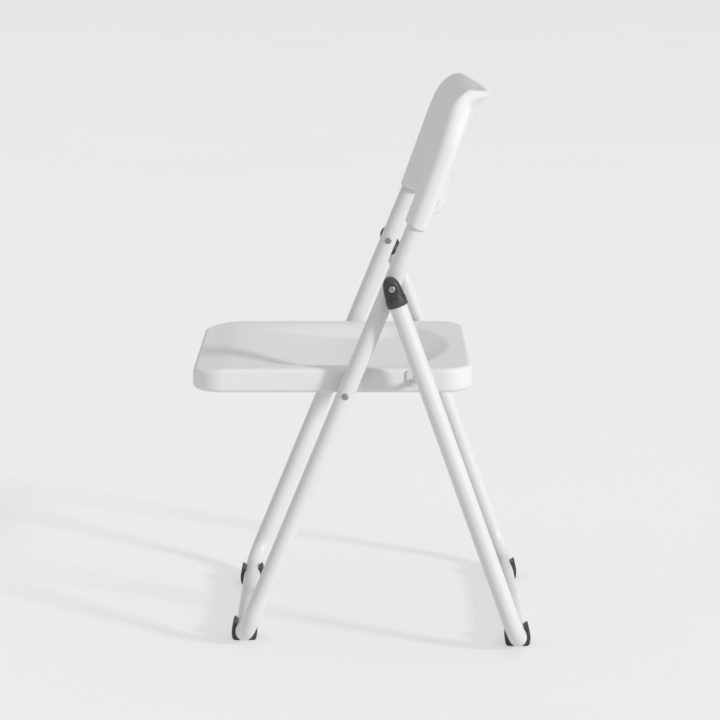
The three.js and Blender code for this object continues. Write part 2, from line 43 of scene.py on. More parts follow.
# ------------------------------------------------------------------ dimensions (mm, as in the CAD)
TUBE_R, BORE_R, BEND_R, BAR_Z = 12.7, 11.4, 48.0, 16.7
PIV_Y, PIV_Z = 39.6, 539.8
FT, RT = math.radians(22.3), math.radians(19.57)
FX, RX = 208.5, 236.3
FRONT_TOP, REAR_TOP = 188.0, 13.0
SEAT_U = -172.0
REST = (87.5, 405.0)
HW, S0, S1, SB, ST = 190.0, -246.0, 157.0, 379.2, 414.2
SC, SE = 44.0, 7.0
BHW, BTOP, BCOR, BSQ, SLEEVE, PANEL = 224.5, 290.0, 110.0, 2.5, 88.0, 98.0
SPY, SPZ = PIV_Y + SEAT_U * math.sin(FT), PIV_Z + SEAT_U * math.cos(FT)
FBAR = -(PIV_Z - BAR_Z) / math.cos(FT)
RBAR = (PIV_Z - BAR_Z) / math.cos(RT)

def front_at(x, u, v):
    return np.stack([np.asarray(x, float) + 0 * (u + v), PIV_Y + u * math.sin(FT) + v * math.cos(FT) + 0 * x,
                     PIV_Z + u * math.cos(FT) - v * math.sin(FT) + 0 * x], -1)

def rear_at(x, s, v):
    return np.stack([np.asarray(x, float) + 0 * (s + v), PIV_Y + s * math.sin(RT) + v * math.cos(RT) + 0 * x,
                     PIV_Z - s * math.cos(RT) + v * math.sin(RT) + 0 * x], -1)

def smooth(a, b, x):
    t = np.clip((np.asarray(x, float) - a) / (b - a), 0, 1)
    return t * t * (3 - 2 * t)

# ------------------------------------------------------------------ materials
def nt(mat):
    t = mat.node_tree
    return t, t.nodes, t.links

def add_noise(t, coord, scale, detail=4.0, rough=0.5, distortion=0.0):
    n = t.nodes.new("ShaderNodeTexNoise")
    n.inputs["Scale"].default_value = scale
    n.inputs["Detail"].default_value = detail
    n.inputs["Roughness"].default_value = rough
    n.inputs["Distortion"].default_value = distortion
    t.links.new(coord, n.inputs["Vector"])
    return n

def ramp(t, fac, stops):
    r = t.nodes.new("ShaderNodeValToRGB")
    while len(r.color_ramp.elements) < len(stops):
        r.color_ramp.elements.new(0.5)
    for e, (p, c) in zip(r.color_ramp.elements, stops):
        e.position = p
        e.color = (*c, 1.0) if len(c) == 3 else c
    t.links.new(fac, r.inputs["Fac"])
    return r

def mapr(t, val, a, b, c, d):
    m = t.nodes.new("ShaderNodeMapRange")
    m.inputs["From Min"].default_value, m.inputs["From Max"].default_value = a, b
    m.inputs["To Min"].default_value, m.inputs["To Max"].default_value = c, d
    t.links.new(val, m.inputs["Value"])
    return m

def bump(t, height, strength, distance, normal=None):
    b = t.nodes.new("ShaderNodeBump")
    b.inputs["Strength"].default_value = strength
    b.inputs["Distance"].default_value = distance
    t.links.new(height, b.inputs["Height"])
    if normal is not None:
        t.links.new(normal, b.inputs["Normal"])
    return b

def new_mat(name):
    m = bpy.data.materials.new(name)
    m.use_nodes = True
    t, n, l = nt(m)
    bsdf = n["Principled BSDF"]
    tc = n.new("ShaderNodeTexCoord")
    return m, t, bsdf, tc.outputs["Object"]

def mat_paint():
    m, t, b, co = new_mat("white_powder_coat")
    big = add_noise(t, co, 9, 3, 0.5)
    fine = add_noise(t, co, 900, 2, 0.5)
    peel = add_noise(t, co, 420, 3, 0.55)
    col = ramp(t, big.outputs["Fac"], [(0.3, (0.655, 0.655, 0.657)), (0.7, (0.69, 0.69, 0.688))])
    t.links.new(col.outputs["Color"], b.inputs["Base Color"])
    ro = mapr(t, peel.outputs["Fac"], 0.3, 0.7, 0.36, 0.47)
    t.links.new(ro.outputs["Result"], b.inputs["Roughness"])
    n1 = bump(t, peel.outputs["Fac"], 0.22, 0.00018)
    n2 = bump(t, fine.outputs["Fac"], 0.12, 0.00008, n1.outputs["Normal"])
    t.links.new(n2.outputs["Normal"], b.inputs["Normal"])
    b.inputs["Specular IOR Level"].default_value = 0.45
    b.inputs["Coat Weight"].default_value = 0.08
    b.inputs["Coat Roughness"].default_value = 0.25
    return m

def mat_resin():
    m, t, b, co = new_mat("white_moulded_resin")
    big = add_noise(t, co, 6, 4, 0.55, 0.3)
    v = t.nodes.new("ShaderNodeTexVoronoi")
    v.feature = "SMOOTH_F1"
    v.inputs["Scale"].default_value = 520
    v.inputs["Smoothness"].default_value = 0.7
    w = add_noise(t, co, 160, 2, 0.5)
    mix = t.nodes.new("ShaderNodeMixRGB")
    mix.inputs["Fac"].default_value = 0.006
    t.links.new(co, mix.inputs["Color1"])
    t.links.new(w.outputs["Color"], mix.inputs["Color2"])
    t.links.new(mix.outputs["Color"], v.inputs["Vector"])
    fine = add_noise(t, co, 1500, 2, 0.6)
    col = ramp(t, big.outputs["Fac"], [(0.25, (0.70, 0.70, 0.70)), (0.75, (0.73, 0.73, 0.728))])
    t.links.new(col.outputs["Color"], b.inputs["Base Color"])
    ro = mapr(t, v.outputs["Distance"], 0.0, 0.6, 0.62, 0.48)
    t.links.new(ro.outputs["Result"], b.inputs["Roughness"])
    n1 = bump(t, v.outputs["Distance"], 0.30, 0.00022)
    n2 = bump(t, fine.outputs["Fac"], 0.15, 0.00006, n1.outputs["Normal"])
    t.links.new(n2.outputs["Normal"], b.inputs["Normal"])
    b.inputs["Specular IOR Level"].default_value = 0.4
    b.inputs["Subsurface Weight"].default_value = 0.0
    return m

def mat_black():
    m, t, b, co = new_mat("black_moulded_plastic")
    big = add_noise(t, co, 60, 4, 0.6)
    v = t.nodes.new("ShaderNodeTexVoronoi")
    v.feature = "SMOOTH_F1"
    v.inputs["Scale"].default_value = 1300
    t.links.new(co, v.inputs["Vector"])
    geo = t.nodes.new("ShaderNodeNewGeometry")
    edge = ramp(t, geo.outputs["Pointiness"], [(0.50, (0, 0, 0)), (0.60, (1, 1, 1))])
    dark = ramp(t, big.outputs["Fac"], [(0.3, (0.016, 0.016, 0.017)), (0.7, (0.030, 0.030, 0.031))])
    worn = t.nodes.new("ShaderNodeMixRGB")
    worn.inputs["Color2"].default_value = (0.075, 0.075, 0.078, 1)
    t.links.new(edge.outputs["Color"], worn.inputs["Fac"])
    t.links.new(dark.outputs["Color"], worn.inputs["Color1"])
    t.links.new(worn.outputs["Color"], b.inputs["Base Color"])
    ro = mapr(t, big.outputs["Fac"], 0.3, 0.7, 0.42, 0.58)
    t.links.new(ro.outputs["Result"], b.inputs["Roughness"])
    n1 = bump(t, v.outputs["Distance"], 0.25, 0.0001)
    t.links.new(n1.outputs["Normal"], b.inputs["Normal"])
    b.inputs["Specular IOR Level"].default_value = 0.5
    return m

def mat_zinc():
    m, t, b, co = new_mat("zinc_plated_steel")
    big = add_noise(t, co, 380, 5, 0.6)
    mp = t.nodes.new("ShaderNodeMapping")
    mp.inputs["Scale"].default_value = (60, 900, 900)
    t.links.new(co, mp.inputs["Vector"])
    turned = add_noise(t, mp.outputs["Vector"], 4, 2, 0.5)
    col = ramp(t, big.outputs["Fac"], [(0.25, (0.24, 0.243, 0.247)), (0.55, (0.33, 0.33, 0.33)), (0.8, (0.42, 0.42, 0.41))])
    t.links.new(col.outputs["Color"], b.inputs["Base Color"])
    b.inputs["Metallic"].default_value = 0.85
    ro = mapr(t, turned.outputs["Fac"], 0.3, 0.7, 0.32, 0.5)
    t.links.new(ro.outputs["Result"], b.inputs["Roughness"])
    n1 = bump(t, turned.outputs["Fac"], 0.15, 0.00006)
    t.links.new(n1.outputs["Normal"], b.inputs["Normal"])
    return m

PAINT, RESIN, BLACK, ZINC = mat_paint(), mat_resin(), mat_black(), mat_zinc()

# ------------------------------------------------------------------ mesh helpers
def finish_piece(name, verts, faces, mat, body, nodes, angle=38.0, recess=None):
    me = bpy.data.meshes.new(name)
    me.from_pydata([tuple(float(c) * MM for c in v) for v in verts], [], [tuple(int(i) for i in f) for f in faces])
    me.validate()
    bm = bmesh.new()
    bm.from_mesh(me)
    bmesh.ops.remove_doubles(bm, verts=bm.verts, dist=1e-6)
    bmesh.ops.dissolve_degenerate(bm, edges=bm.edges, dist=1e-7)
    bmesh.ops.recalc_face_normals(bm, faces=bm.faces)
    if bm.calc_volume(signed=True) < 0:
        bmesh.ops.reverse_faces(bm, faces=bm.faces)
    bm.to_mesh(me)
    bm.free()
    ob = bpy.data.objects.new(name, me)
    scene.collection.objects.link(ob)
    return dress(ob, mat, body, nodes, angle)

def dress(ob, mat, body, nodes, angle=38.0):
    me = ob.data
    bm = bmesh.new()
    bm.from_mesh(me)
    lim = math.radians(angle)
    for f in bm.faces:
        f.smooth = True
    for e in bm.edges:
        e.smooth = not (len(e.link_faces) == 2 and e.calc_face_angle(0) > lim)
    bm.to_mesh(me)
    bm.free()
    me.materials.clear()
    me.materials.append(mat)
    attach(ob, body)
    if nodes:
        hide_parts(*nodes)
    return ob

def raw(name, verts, faces):
    me = bpy.data.meshes.new(name)
    me.from_pydata([tuple(float(c) * MM for c in v) for v in verts], [], [tuple(int(i) for i in f) for f in faces])
    bm = bmesh.new()
    bm.from_mesh(me)
    bmesh.ops.remove_doubles(bm, verts=bm.verts, dist=1e-6)
    bmesh.ops.recalc_face_normals(bm, faces=bm.faces)
    if bm.calc_volume(signed=True) < 0:
        bmesh.ops.reverse_faces(bm, faces=bm.faces)
    bm.to_mesh(me)
    bm.free()
    ob = bpy.data.objects.new(name, me)
    scene.collection.objects.link(ob)
    return ob

def boolean(ob, cutters, op="DIFFERENCE"):
    for c in cutters:
        md = ob.modifiers.new("cut", "BOOLEAN")
        md.operation, md.solver, md.object = op, "EXACT", c
    dg = bpy.context.evaluated_depsgraph_get()
    me = bpy.data.meshes.new_from_object(ob.evaluated_get(dg))
    old = ob.data
    ob.modifiers.clear()
    ob.data = me
    bpy.data.meshes.remove(old)
    for c in cutters:
        bpy.data.objects.remove(c)
    return ob

def lathe(profile, origin, axis, n=48, closed=False):
    """profile [(r, a)] turned about axis (unit) through origin (mm); open profiles start and end on the axis"""
    ax = np.array(axis, float); ax /= np.linalg.norm(ax)
    ref = np.array([0, 0, 1.0]) if abs(ax[2]) < 0.9 else np.array([1.0, 0, 0])
    e1 = np.cross(ref, ax); e1 /= np.linalg.norm(e1)
    e2 = np.cross(ax, e1)
    o = np.array(origin, float)
    verts, faces, rings = [], [], []
    for r, a in profile:
        if r < 1e-6:
            rings.append([len(verts)]); verts.append(o + a * ax)
        else:
            base = len(verts)
            for k in range(n):
                t = 2 * math.pi * k / n
                verts.append(o + a * ax + r * (math.cos(t) * e1 + math.sin(t) * e2))
            rings.append(list(range(base, base + n)))
    m = len(rings)
    for i in range(m if closed else m - 1):
        A, B = rings[i], rings[(i + 1) % m]
        if len(A) == 1 and len(B) == 1:
            continue
        for k in range(n):
            k2 = (k + 1) % n
            if len(A) == 1:
                faces.append((A[0], B[k], B[k2]))
            elif len(B) == 1:
                faces.append((A[k], B[0], A[k2]))
            else:
                faces.append((A[k], B[k], B[k2], A[k2]))
    return verts, faces

def dome(r, a0, h, n=6, flip=1):
    """profile points of a low dome from the rim (r, a0) to the axis"""
    out = []
    for i in range(n + 1):
        t = (i / n) * math.pi / 2
        out.append((r * math.cos(t) if i < n else 0.0, a0 + flip * h * math.sin(t)))
    return out

def sweep_path(centres, tangents, normals, r, n):
    verts = []
    for c, t, nn in zip(centres, tangents, normals):
        b = np.cross(t, nn)
        for k in range(n):
            a = 2 * math.pi * k / n
            verts.append(c + r * (math.cos(a) * nn + math.sin(a) * b))
    return verts

def u_stations(halfx, top, bar, at, straight=26, arc=28):
    d = 1.0 if bar > top else -1.0
    pts = []
    s_end = bar - d * BEND_R
    for i in range(straight):
        pts.append((halfx, top + (s_end - top) * i / straight, 0.0, d))
    for i in range(arc + 1):
        t = i / arc * math.pi / 2
        pts.append((halfx - BEND_R + BEND_R * math.cos(t), s_end + d * BEND_R * math.sin(t), -math.sin(t), d * math.cos(t)))
    nb = 14
    for i in range(1, nb):
        pts.append((halfx - BEND_R + (2 * BEND_R - 2 * halfx) * i / nb, bar, -1.0, 0.0))
    half = pts[:]
    for x, a, tx, ta in reversed(half[:straight + arc + 1]):
        pts.append((-x, a, tx, -ta))
    o, e = at(0., 0., 0.), at(0., 1., 0.)
    ea = e - o
    nrm = at(0., 0., 1.) - o
    C = [at(p[0], p[1], 0.0) for p in pts]
    T = [np.array([p[2], 0, 0]) + ea * p[3] for p in pts]
    return C, [t / np.linalg.norm(t) for t in T], [nrm] * len(C)

def u_tube(name, halfx, top, bar, at, mat, body, node, holes=()):
    n = 40
    C, T, N = u_stations(halfx, top, bar, at)
    outer = sweep_path(C, T, N, TUBE_R, n)
    inner = sweep_path(C, T, N, BORE_R, n)
    V = outer + inner
    m = len(C)
    off = m * n
    F = []
    for i in range(m - 1):
        for k in range(n):
            k2 = (k + 1) % n
            F.append((i * n + k, (i + 1) * n + k, (i + 1) * n + k2, i * n + k2))
            F.append((off + i * n + k, off + i * n + k2, off + (i + 1) * n + k2, off + (i + 1) * n + k))
    for i in (0, m - 1):
        for k in range(n):
            k2 = (k + 1) % n
            F.append((i * n + k, i * n + k2, off + i * n + k2, off + i * n + k))
    ob = raw(name, V, F)
    if holes and not QUICK:
        boolean(ob, [raw("hole%d" % i, *lathe([(0, a0), (r, a0), (r, a1), (0, a1)], o, ax, 24)) for i, (o, ax, r, a0, a1) in enumerate(holes)])
    return dress(ob, mat, body, [node])

def pillow(xs, rows, top, bot, place):
    X = np.array(xs)
    Y = np.array([rows(x) for x in xs])
    n, m = Y.shape
    XX = np.repeat(X[:, None], m, 1)
    A = place(XX, Y, top(XX, Y)).reshape(-1, 3)
    B = place(XX, Y, bot(XX, Y)).reshape(-1, 3)
    V = np.concatenate([A, B])
    F = []
    T = lambda i, j: i * m + j
    L = lambda i, j: n * m + i * m + j
    for i in range(n - 1):
        for j in range(m - 1):
            F.append((T(i, j), T(i + 1, j), T(i + 1, j + 1), T(i, j + 1)))
            F.append((L(i, j), L(i, j + 1), L(i + 1, j + 1), L(i + 1, j)))
    rim = [((i, 0), (i + 1, 0)) for i in range(n - 1)] + [((n - 1, j), (n - 1, j + 1)) for j in range(m - 1)] \
        + [((i, m - 1), (i - 1, m - 1)) for i in range(n - 1, 0, -1)] + [((0, j), (0, j - 1)) for j in range(m - 1, 0, -1)]
    for a, b in rim:
        F.append((T(*a), L(*a), L(*b), T(*b)))
    return V, F

def inside(x, y, hx, y0, y1, r):
    cy, hy = (y0 + y1) / 2, (y1 - y0) / 2
    qx, qy = np.abs(x) - hx + r, np.abs(y - cy) - hy + r
    return -(np.hypot(np.maximum(qx, 0), np.maximum(qy, 0)) + np.minimum(np.maximum(qx, qy), 0) - r)

def edge_spread(a, b, edges, step):
    lo, hi = a + edges[-1], b - edges[-1]
    n = max(2, int(round((hi - lo) / step)))
    return np.array([a + e for e in edges] + [lo + (hi - lo) * i / n for i in range(1, n)] + [b - e for e in reversed(edges)])

def row_spread(a, b, edges, n):
    lo, hi = a + edges[-1], b - edges[-1]
    return np.array([a + e for e in edges] + [lo + (hi - lo) * i / n for i in range(1, n)] + [b - e for e in reversed(edges)])

# ------------------------------------------------------------------ frames
x_ax = (1.0, 0.0, 0.0)
v_ax = (0.0, math.cos(FT), -math.sin(FT))
f_holes, r_holes = [], []
for sd in (1, -1):
    f_holes += [((sd * FX, PIV_Y, PIV_Z), x_ax, 4.2, -16, 16), ((sd * FX, SPY, SPZ), x_ax, 4.2, -16, 16)]
    r_holes += [((sd * RX, REST[0], REST[1]), (-sd, 0, 0), 3.5, 4, 16)]
u_tube("front_frame", FX, FRONT_TOP, FBAR, front_at, PAINT, "front_frame", "front_frame_tube", f_holes)
u_tube("rear_frame", RX, REAR_TOP, RBAR, rear_at, PAINT, "rear_legs", "rear_frame_tube", r_holes)

# ------------------------------------------------------------------ seat
def dish(x, y):
    back = 127 - 33 * (x / 123) ** 2
    side = 1 - smooth(108, 166, np.abs(x))
    q = (back - y) / 50
    t = np.minimum(1, (q + np.sqrt(q * q + 0.003)) / 2)
    rear = 1 - (1 - t) ** 1.25
    front = smooth(-205, -20, y)
    return 14.5 * side * rear * front

def waterfall(y):
    return 5 * (1 - smooth(S0, S0 + 70, y)) ** 1.5

def underside(x, y):
    """moulded kiss-off dimples under the seat, five across and five along"""
    h = np.zeros_like(x)
    for cx in (-132, -66, 0, 66, 132):
        for cy in (-196, -140, -84, -28, 118):
            d = np.hypot((x - cx) / 20.0, (y - cy) / 15.0)
            h = h + 6.5 * (1 - smooth(0.45, 1.0, d))
    return h

def seat_lift(x, y):
    d = inside(x, y, HW, S0, S1, SC)
    half = (ST - SB) / 2
    dd = np.clip(d, 0, SE)
    return half - SE + np.sqrt(np.maximum(0, SE * SE - (SE - dd) ** 2))

def build_seat():
    mid = (ST + SB) / 2
    edges = [0, 0.07, 0.28, 0.62, 1.1, 1.8, 2.6, 3.6, 4.8, 6.2, 7.4, 10]
    xs = edge_spread(-HW, HW, edges, 5.0)
    nr = 96
    def rows(x):
        over = max(0.0, abs(x) - (HW - SC))
        cut = SC - math.sqrt(max(0.0, SC * SC - over * over))
        return row_spread(S0 + cut, S1 - cut, edges, nr)
    V, F = pillow(xs, rows,
                  lambda x, y: mid + seat_lift(x, y) - dish(x, y) - waterfall(y),
                  lambda x, y: mid - seat_lift(x, y) + underside(x, y),
                  lambda x, y, z: np.stack([x, y, z], -1))
    ob = raw("seat", V, F)
    cutters = [raw("blow", *lathe([(0, -6), (8.2, -6), (8.2, 1.6), (5.0, 2.2), (5.0, 9), (0, 9)], (0, 60, SB), (0, 0, 1), 32))]
    for sd in (1, -1):
        cutters.append(raw("pocket%d" % sd, *lathe([(0, 188.2), (5.4, 188.2), (5.4, 196), (0, 196)], (0, SPY, SPZ), (sd, 0, 0), 32)))
    if not QUICK:
        boolean(ob, cutters)
    else:
        for c in cutters: bpy.data.objects.remove(c)
    return dress(ob, RESIN, "seat", ["seat_shell"], 40)
build_seat()

# ------------------------------------------------------------------ backrest
def blend_x(x):
    ax = np.abs(x)
    return np.where(ax >= 200, 0.0, np.cos(np.pi * np.minimum(ax, 200) / 400) ** 2)

def sleeve_front(u):
    return -(16 + 0.044 * (u - 88))

def sleeve_rear(u):
    return 16.3 - 2.6 * smooth(88, 190, u) - 1.5 * smooth(192, 240, u)

def back_mid(x, u):
    side = (sleeve_front(u) + sleeve_rear(u)) / 2
    middle = 19.4 + 13.4 * (1 - smooth(112, 172, u)) + 14.7 * smooth(265, 290.2, u)
    return side + (middle - side) * blend_x(x)

def back_half(x, u):
    sleeve = (sleeve_rear(u) - sleeve_front(u)) / 2
    return 10 + (sleeve - 10) * smooth(150, 196, np.abs(x))

def back_low(x):
    return SLEEVE + (PANEL - SLEEVE) * (1 - smooth(180, 193, np.abs(x)))

def superf(t, r, n):
    q = np.clip(1 - np.maximum(t, 0) / r, 0, 1)
    return (1 - q ** n) ** (1 / n)

def back_edge(x, u, r=16.0, n=2.5, floor=0.03):
    ax = np.abs(x)
    d = np.minimum(BHW - ax, BTOP - u)
    low = u - back_low(x)
    qx, qu = ax - (BHW - BCOR), u - (BTOP - BCOR)
    d = np.where((qx > 0) & (qu > 0), BCOR - (np.maximum(qx, 0) ** BSQ + np.maximum(qu, 0) ** BSQ) ** (1 / BSQ), d)
    sl = smooth(178, 195, ax)
    low_r = 9 - 6.5 * sl
    f1 = superf(d, r, n)
    f2 = superf(low, low_r, 2.2)
    return np.maximum(floor, f1) * np.maximum(0.5 + 0.3 * sl, f2)

def build_back():
    ed = [0, 0.06, 0.2, 0.45, 0.85, 1.4, 2.2, 3.2, 4.5, 6.1, 8, 10.3, 13, 16, 19.5, 23, 27, 31, 36, 41, 47, 54, 62]
    xs = edge_spread(-BHW, BHW, ed, 5.0)
    lo_e = [0, 0.25, 0.6, 1.1, 1.8, 2.8, 4.2, 6, 8, 10.5]
    hi_e = [0, 0.1, 0.4, 0.9, 1.7, 2.8, 4.2, 6, 8.3, 11, 14, 17]
    nr = 40
    def rows(x):
        over = max(0.0, abs(x) - (BHW - BCOR))
        cut = BCOR - max(0.0, BCOR ** BSQ - over ** BSQ) ** (1 / BSQ)
        a, b = float(back_low(x)), BTOP - cut
        lo, hi = a + lo_e[-1], b - hi_e[-1]
        return np.array([a + e for e in lo_e] + [lo + (hi - lo) * i / nr for i in range(1, nr)] + [b - e for e in reversed(hi_e)])
    V, F = pillow(xs, rows,
                  lambda x, u: back_mid(x, u) + back_half(x, u) * back_edge(x, u),
                  lambda x, u: back_mid(x, u) - back_half(x, u) * back_edge(x, u, 24.0, 2.0),
                  front_at)
    ob = raw("backrest_shell", V, F)
    tube_ax = (0.0, math.sin(FT), math.cos(FT))
    cutters = []
    for i, sd in enumerate((1, -1)):
        o = (sd * FX, PIV_Y, PIV_Z)
        cutters.append(raw("sock%d" % i, *lathe([(0, 80), (13.5, 80), (13.5, 88.6), (13.05, 89.6), (13.05, 192), (0, 192)], o, tube_ax, 48)))
    if not QUICK:
        boolean(ob, cutters)
    else:
        for c in cutters: bpy.data.objects.remove(c)
    return dress(ob, RESIN, "front_frame", ["backrest"], 42)
build_back()

# ------------------------------------------------------------------ small parts
def glide(name, x, y, body, node):
    r = TUBE_R + 0.25
    pts = []
    def arc(cx, cz, rr, a0, a1, n):
        for i in range(n + 1):
            a = math.radians(a0 + (a1 - a0) * i / n)
            pts.append((cx + rr * math.cos(a), cz + rr * math.sin(a)))
    arc(12.9, 5.0, 5.0, -90, -8, 8)
    for p in ((18.4, 8.0), (18.7, 11), (18.6, 14), (18.3, 17), (17.6, 21), (16.8, 25)):
        pts.append(p)
    arc(14.2, 26.9, 2.2, -12, 120, 8)
    a0 = math.degrees(math.asin(8.8 / r))
    half = pts[:]
    inner = []
    for i in range(0, 25):
        a = math.radians(a0 + (-90 - a0) * i / 24)
        inner.append((r * math.cos(a), BAR_Z + r * math.sin(a)))
    right = half + inner                      # from sole centre side, round the wing, down the bore
    left_bore = [(-p[0], p[1]) for p in reversed(inner[:-1])]
    left_out = [(-p[0], p[1]) for p in reversed(half)]
    outline = right + left_bore + left_out
    n = len(outline)
    L = 15.0
    cx = sum(p[0] for p in outline) / n
    # chamfered ends: the section shrinks towards its own outline's inside over the last 1.2 mm
    secs = [(-L, 0.9), (-L + 0.25, 0.45), (-L + 0.7, 0.12), (-L + 1.3, 0.0), (L - 1.3, 0.0), (L - 0.7, 0.12), (L - 0.25, 0.45), (L, 0.9)]
    def inset(k):
        out = []
        for i, p in enumerate(outline):
            q0, q1 = outline[i - 1], outline[(i + 1) % n]
            tx, tz = q1[0] - q0[0], q1[1] - q0[1]
            ln = math.hypot(tx, tz) or 1
            nx, nz = -tz / ln, tx / ln        # inward for a counter-clockwise outline
            out.append((p[0] + nx * k, p[1] + nz * k))
        return out
    V, F = [], []
    for sx, k in secs:
        for (a, b) in inset(k):
            V.append((x + sx, y + a, max(b, 0.0)))
    for s in range(len(secs) - 1):
        for i in range(n):
            j = (i + 1) % n
            F.append((s * n + i, s * n + j, (s + 1) * n + j, (s + 1) * n + i))
    F.append(tuple(range(n)))
    F.append(tuple(reversed(range((len(secs) - 1) * n, len(secs) * n))))
    return finish_piece(name, V, F, BLACK, body, [node], 50)

FBY = float(front_at(0., FBAR, 0.)[1])
RBY = float(rear_at(0., RBAR, 0.)[1])

def plate_mesh(name, outline, x0, x1, mat, body, node, sd, hole=None):
    """flat plate in the YZ plane with a small edge radius"""
    n = len(outline)
    area = sum(outline[i][0] * outline[(i + 1) % n][1] - outline[(i + 1) % n][0] * outline[i][1] for i in range(n))
    if area < 0:
        outline = outline[::-1]
    secs = [(x0, 0.3), (x0 + 0.3, 0.0), (x1 - 1.1, 0.0), (x1 - 0.65, 0.12), (x1 - 0.25, 0.42), (x1 - 0.05, 0.8), (x1, 1.1)]
    V, F = [], []
    for sx, k in secs:
        for i, p in enumerate(outline):
            q0, q1 = outline[i - 1], outline[(i + 1) % n]
            tx, tz = q1[0] - q0[0], q1[1] - q0[1]
            ln = math.hypot(tx, tz) or 1
            V.append((sd * sx, p[0] - tz / ln * k, p[1] + tx / ln * k))
    for s in range(len(secs) - 1):
        for i in range(n):
            j = (i + 1) % n
            F.append((s * n + i, s * n + j, (s + 1) * n + j, (s + 1) * n + i))
    F.append(tuple(range(n)))
    F.append(tuple(reversed(range((len(secs) - 1) * n, len(secs) * n))))
    if hole is None:
        return finish_piece(name, V, F, mat, body, [node], 35)
    hy, hz, hr = hole
    ob = boolean(raw(name, V, F), [raw(name + "_h", *lathe([(0, x0 - 2), (hr, x0 - 2), (hr, x1 + 2), (0, x1 + 2)], (0, hy, hz), (sd, 0, 0), 32))])
    return dress(ob, mat, body, [node], 35)

def fillet(points, n=5):
    """points (y, z, radius) to an outline with rounded corners"""
    out = []
    m = len(points)
    for i, (a, b, r) in enumerate(points):
        p0 = np.array(points[i - 1][:2]); p = np.array((a, b)); p1 = np.array(points[(i + 1) % m][:2])
        if r <= 0:
            out.append((a, b)); continue
        d0, d1 = (p0 - p), (p1 - p)
        l0, l1 = np.linalg.norm(d0), np.linalg.norm(d1)
        k = min(r, l0 * 0.48, l1 * 0.48)
        s, e = p + d0 / l0 * k, p + d1 / l1 * k
        for j in range(n + 1):
            t = j / n
            q = (1 - t) ** 2 * s + 2 * t * (1 - t) * p + t * t * e
            out.append((float(q[0]), float(q[1])))
    return out

def screw(name, origin, axis, body, node, head_r=3.4, head_h=1.6, shank=1.75, length=9.0):
    prof = [(0, -length), (shank * 0.3, -length), (shank, -length + 1.4), (shank, 0), (head_r - 0.15, 0), (head_r, 0.25)]
    prof += [(head_r * math.cos(t), 0.25 + (head_h - 0.25) * math.sin(t)) for t in [math.pi / 2 * i / 7 for i in range(1, 7)]] + [(0, head_h)]
    V, F = lathe(prof, origin, axis, 32)
    ob = raw(name, V, F)
    if not QUICK:
        ax = np.array(axis, float)
        ref = np.array([0, 0, 1.0]) if abs(ax[2]) < 0.9 else np.array([1.0, 0, 0])
        e1 = np.cross(ref, ax); e1 /= np.linalg.norm(e1)
        e2 = np.cross(ax, e1)
        o = np.array(origin, float)
        cut = []
        for a, b in ((e1, e2), (e2, e1)):
            vs = []
            for h, wl, ww in ((head_h - 0.6, 0.9, 0.24), (head_h + 0.5, 1.7, 0.36)):
                for sa, sb in ((-1, -1), (1, -1), (1, 1), (-1, 1)):
                    vs.append(o + ax * h + a * sa * wl * head_r / 3.5 + b * sb * ww * head_r / 3.5)
            cut.append(raw(name + "c", vs, [(0, 3, 2, 1), (4, 5, 6, 7), (0, 1, 5, 4), (1, 2, 6, 5), (2, 3, 7, 6), (3, 0, 4, 7)]))
        boolean(ob, cut)
    return dress(ob, PAINT, body, [node], 30)

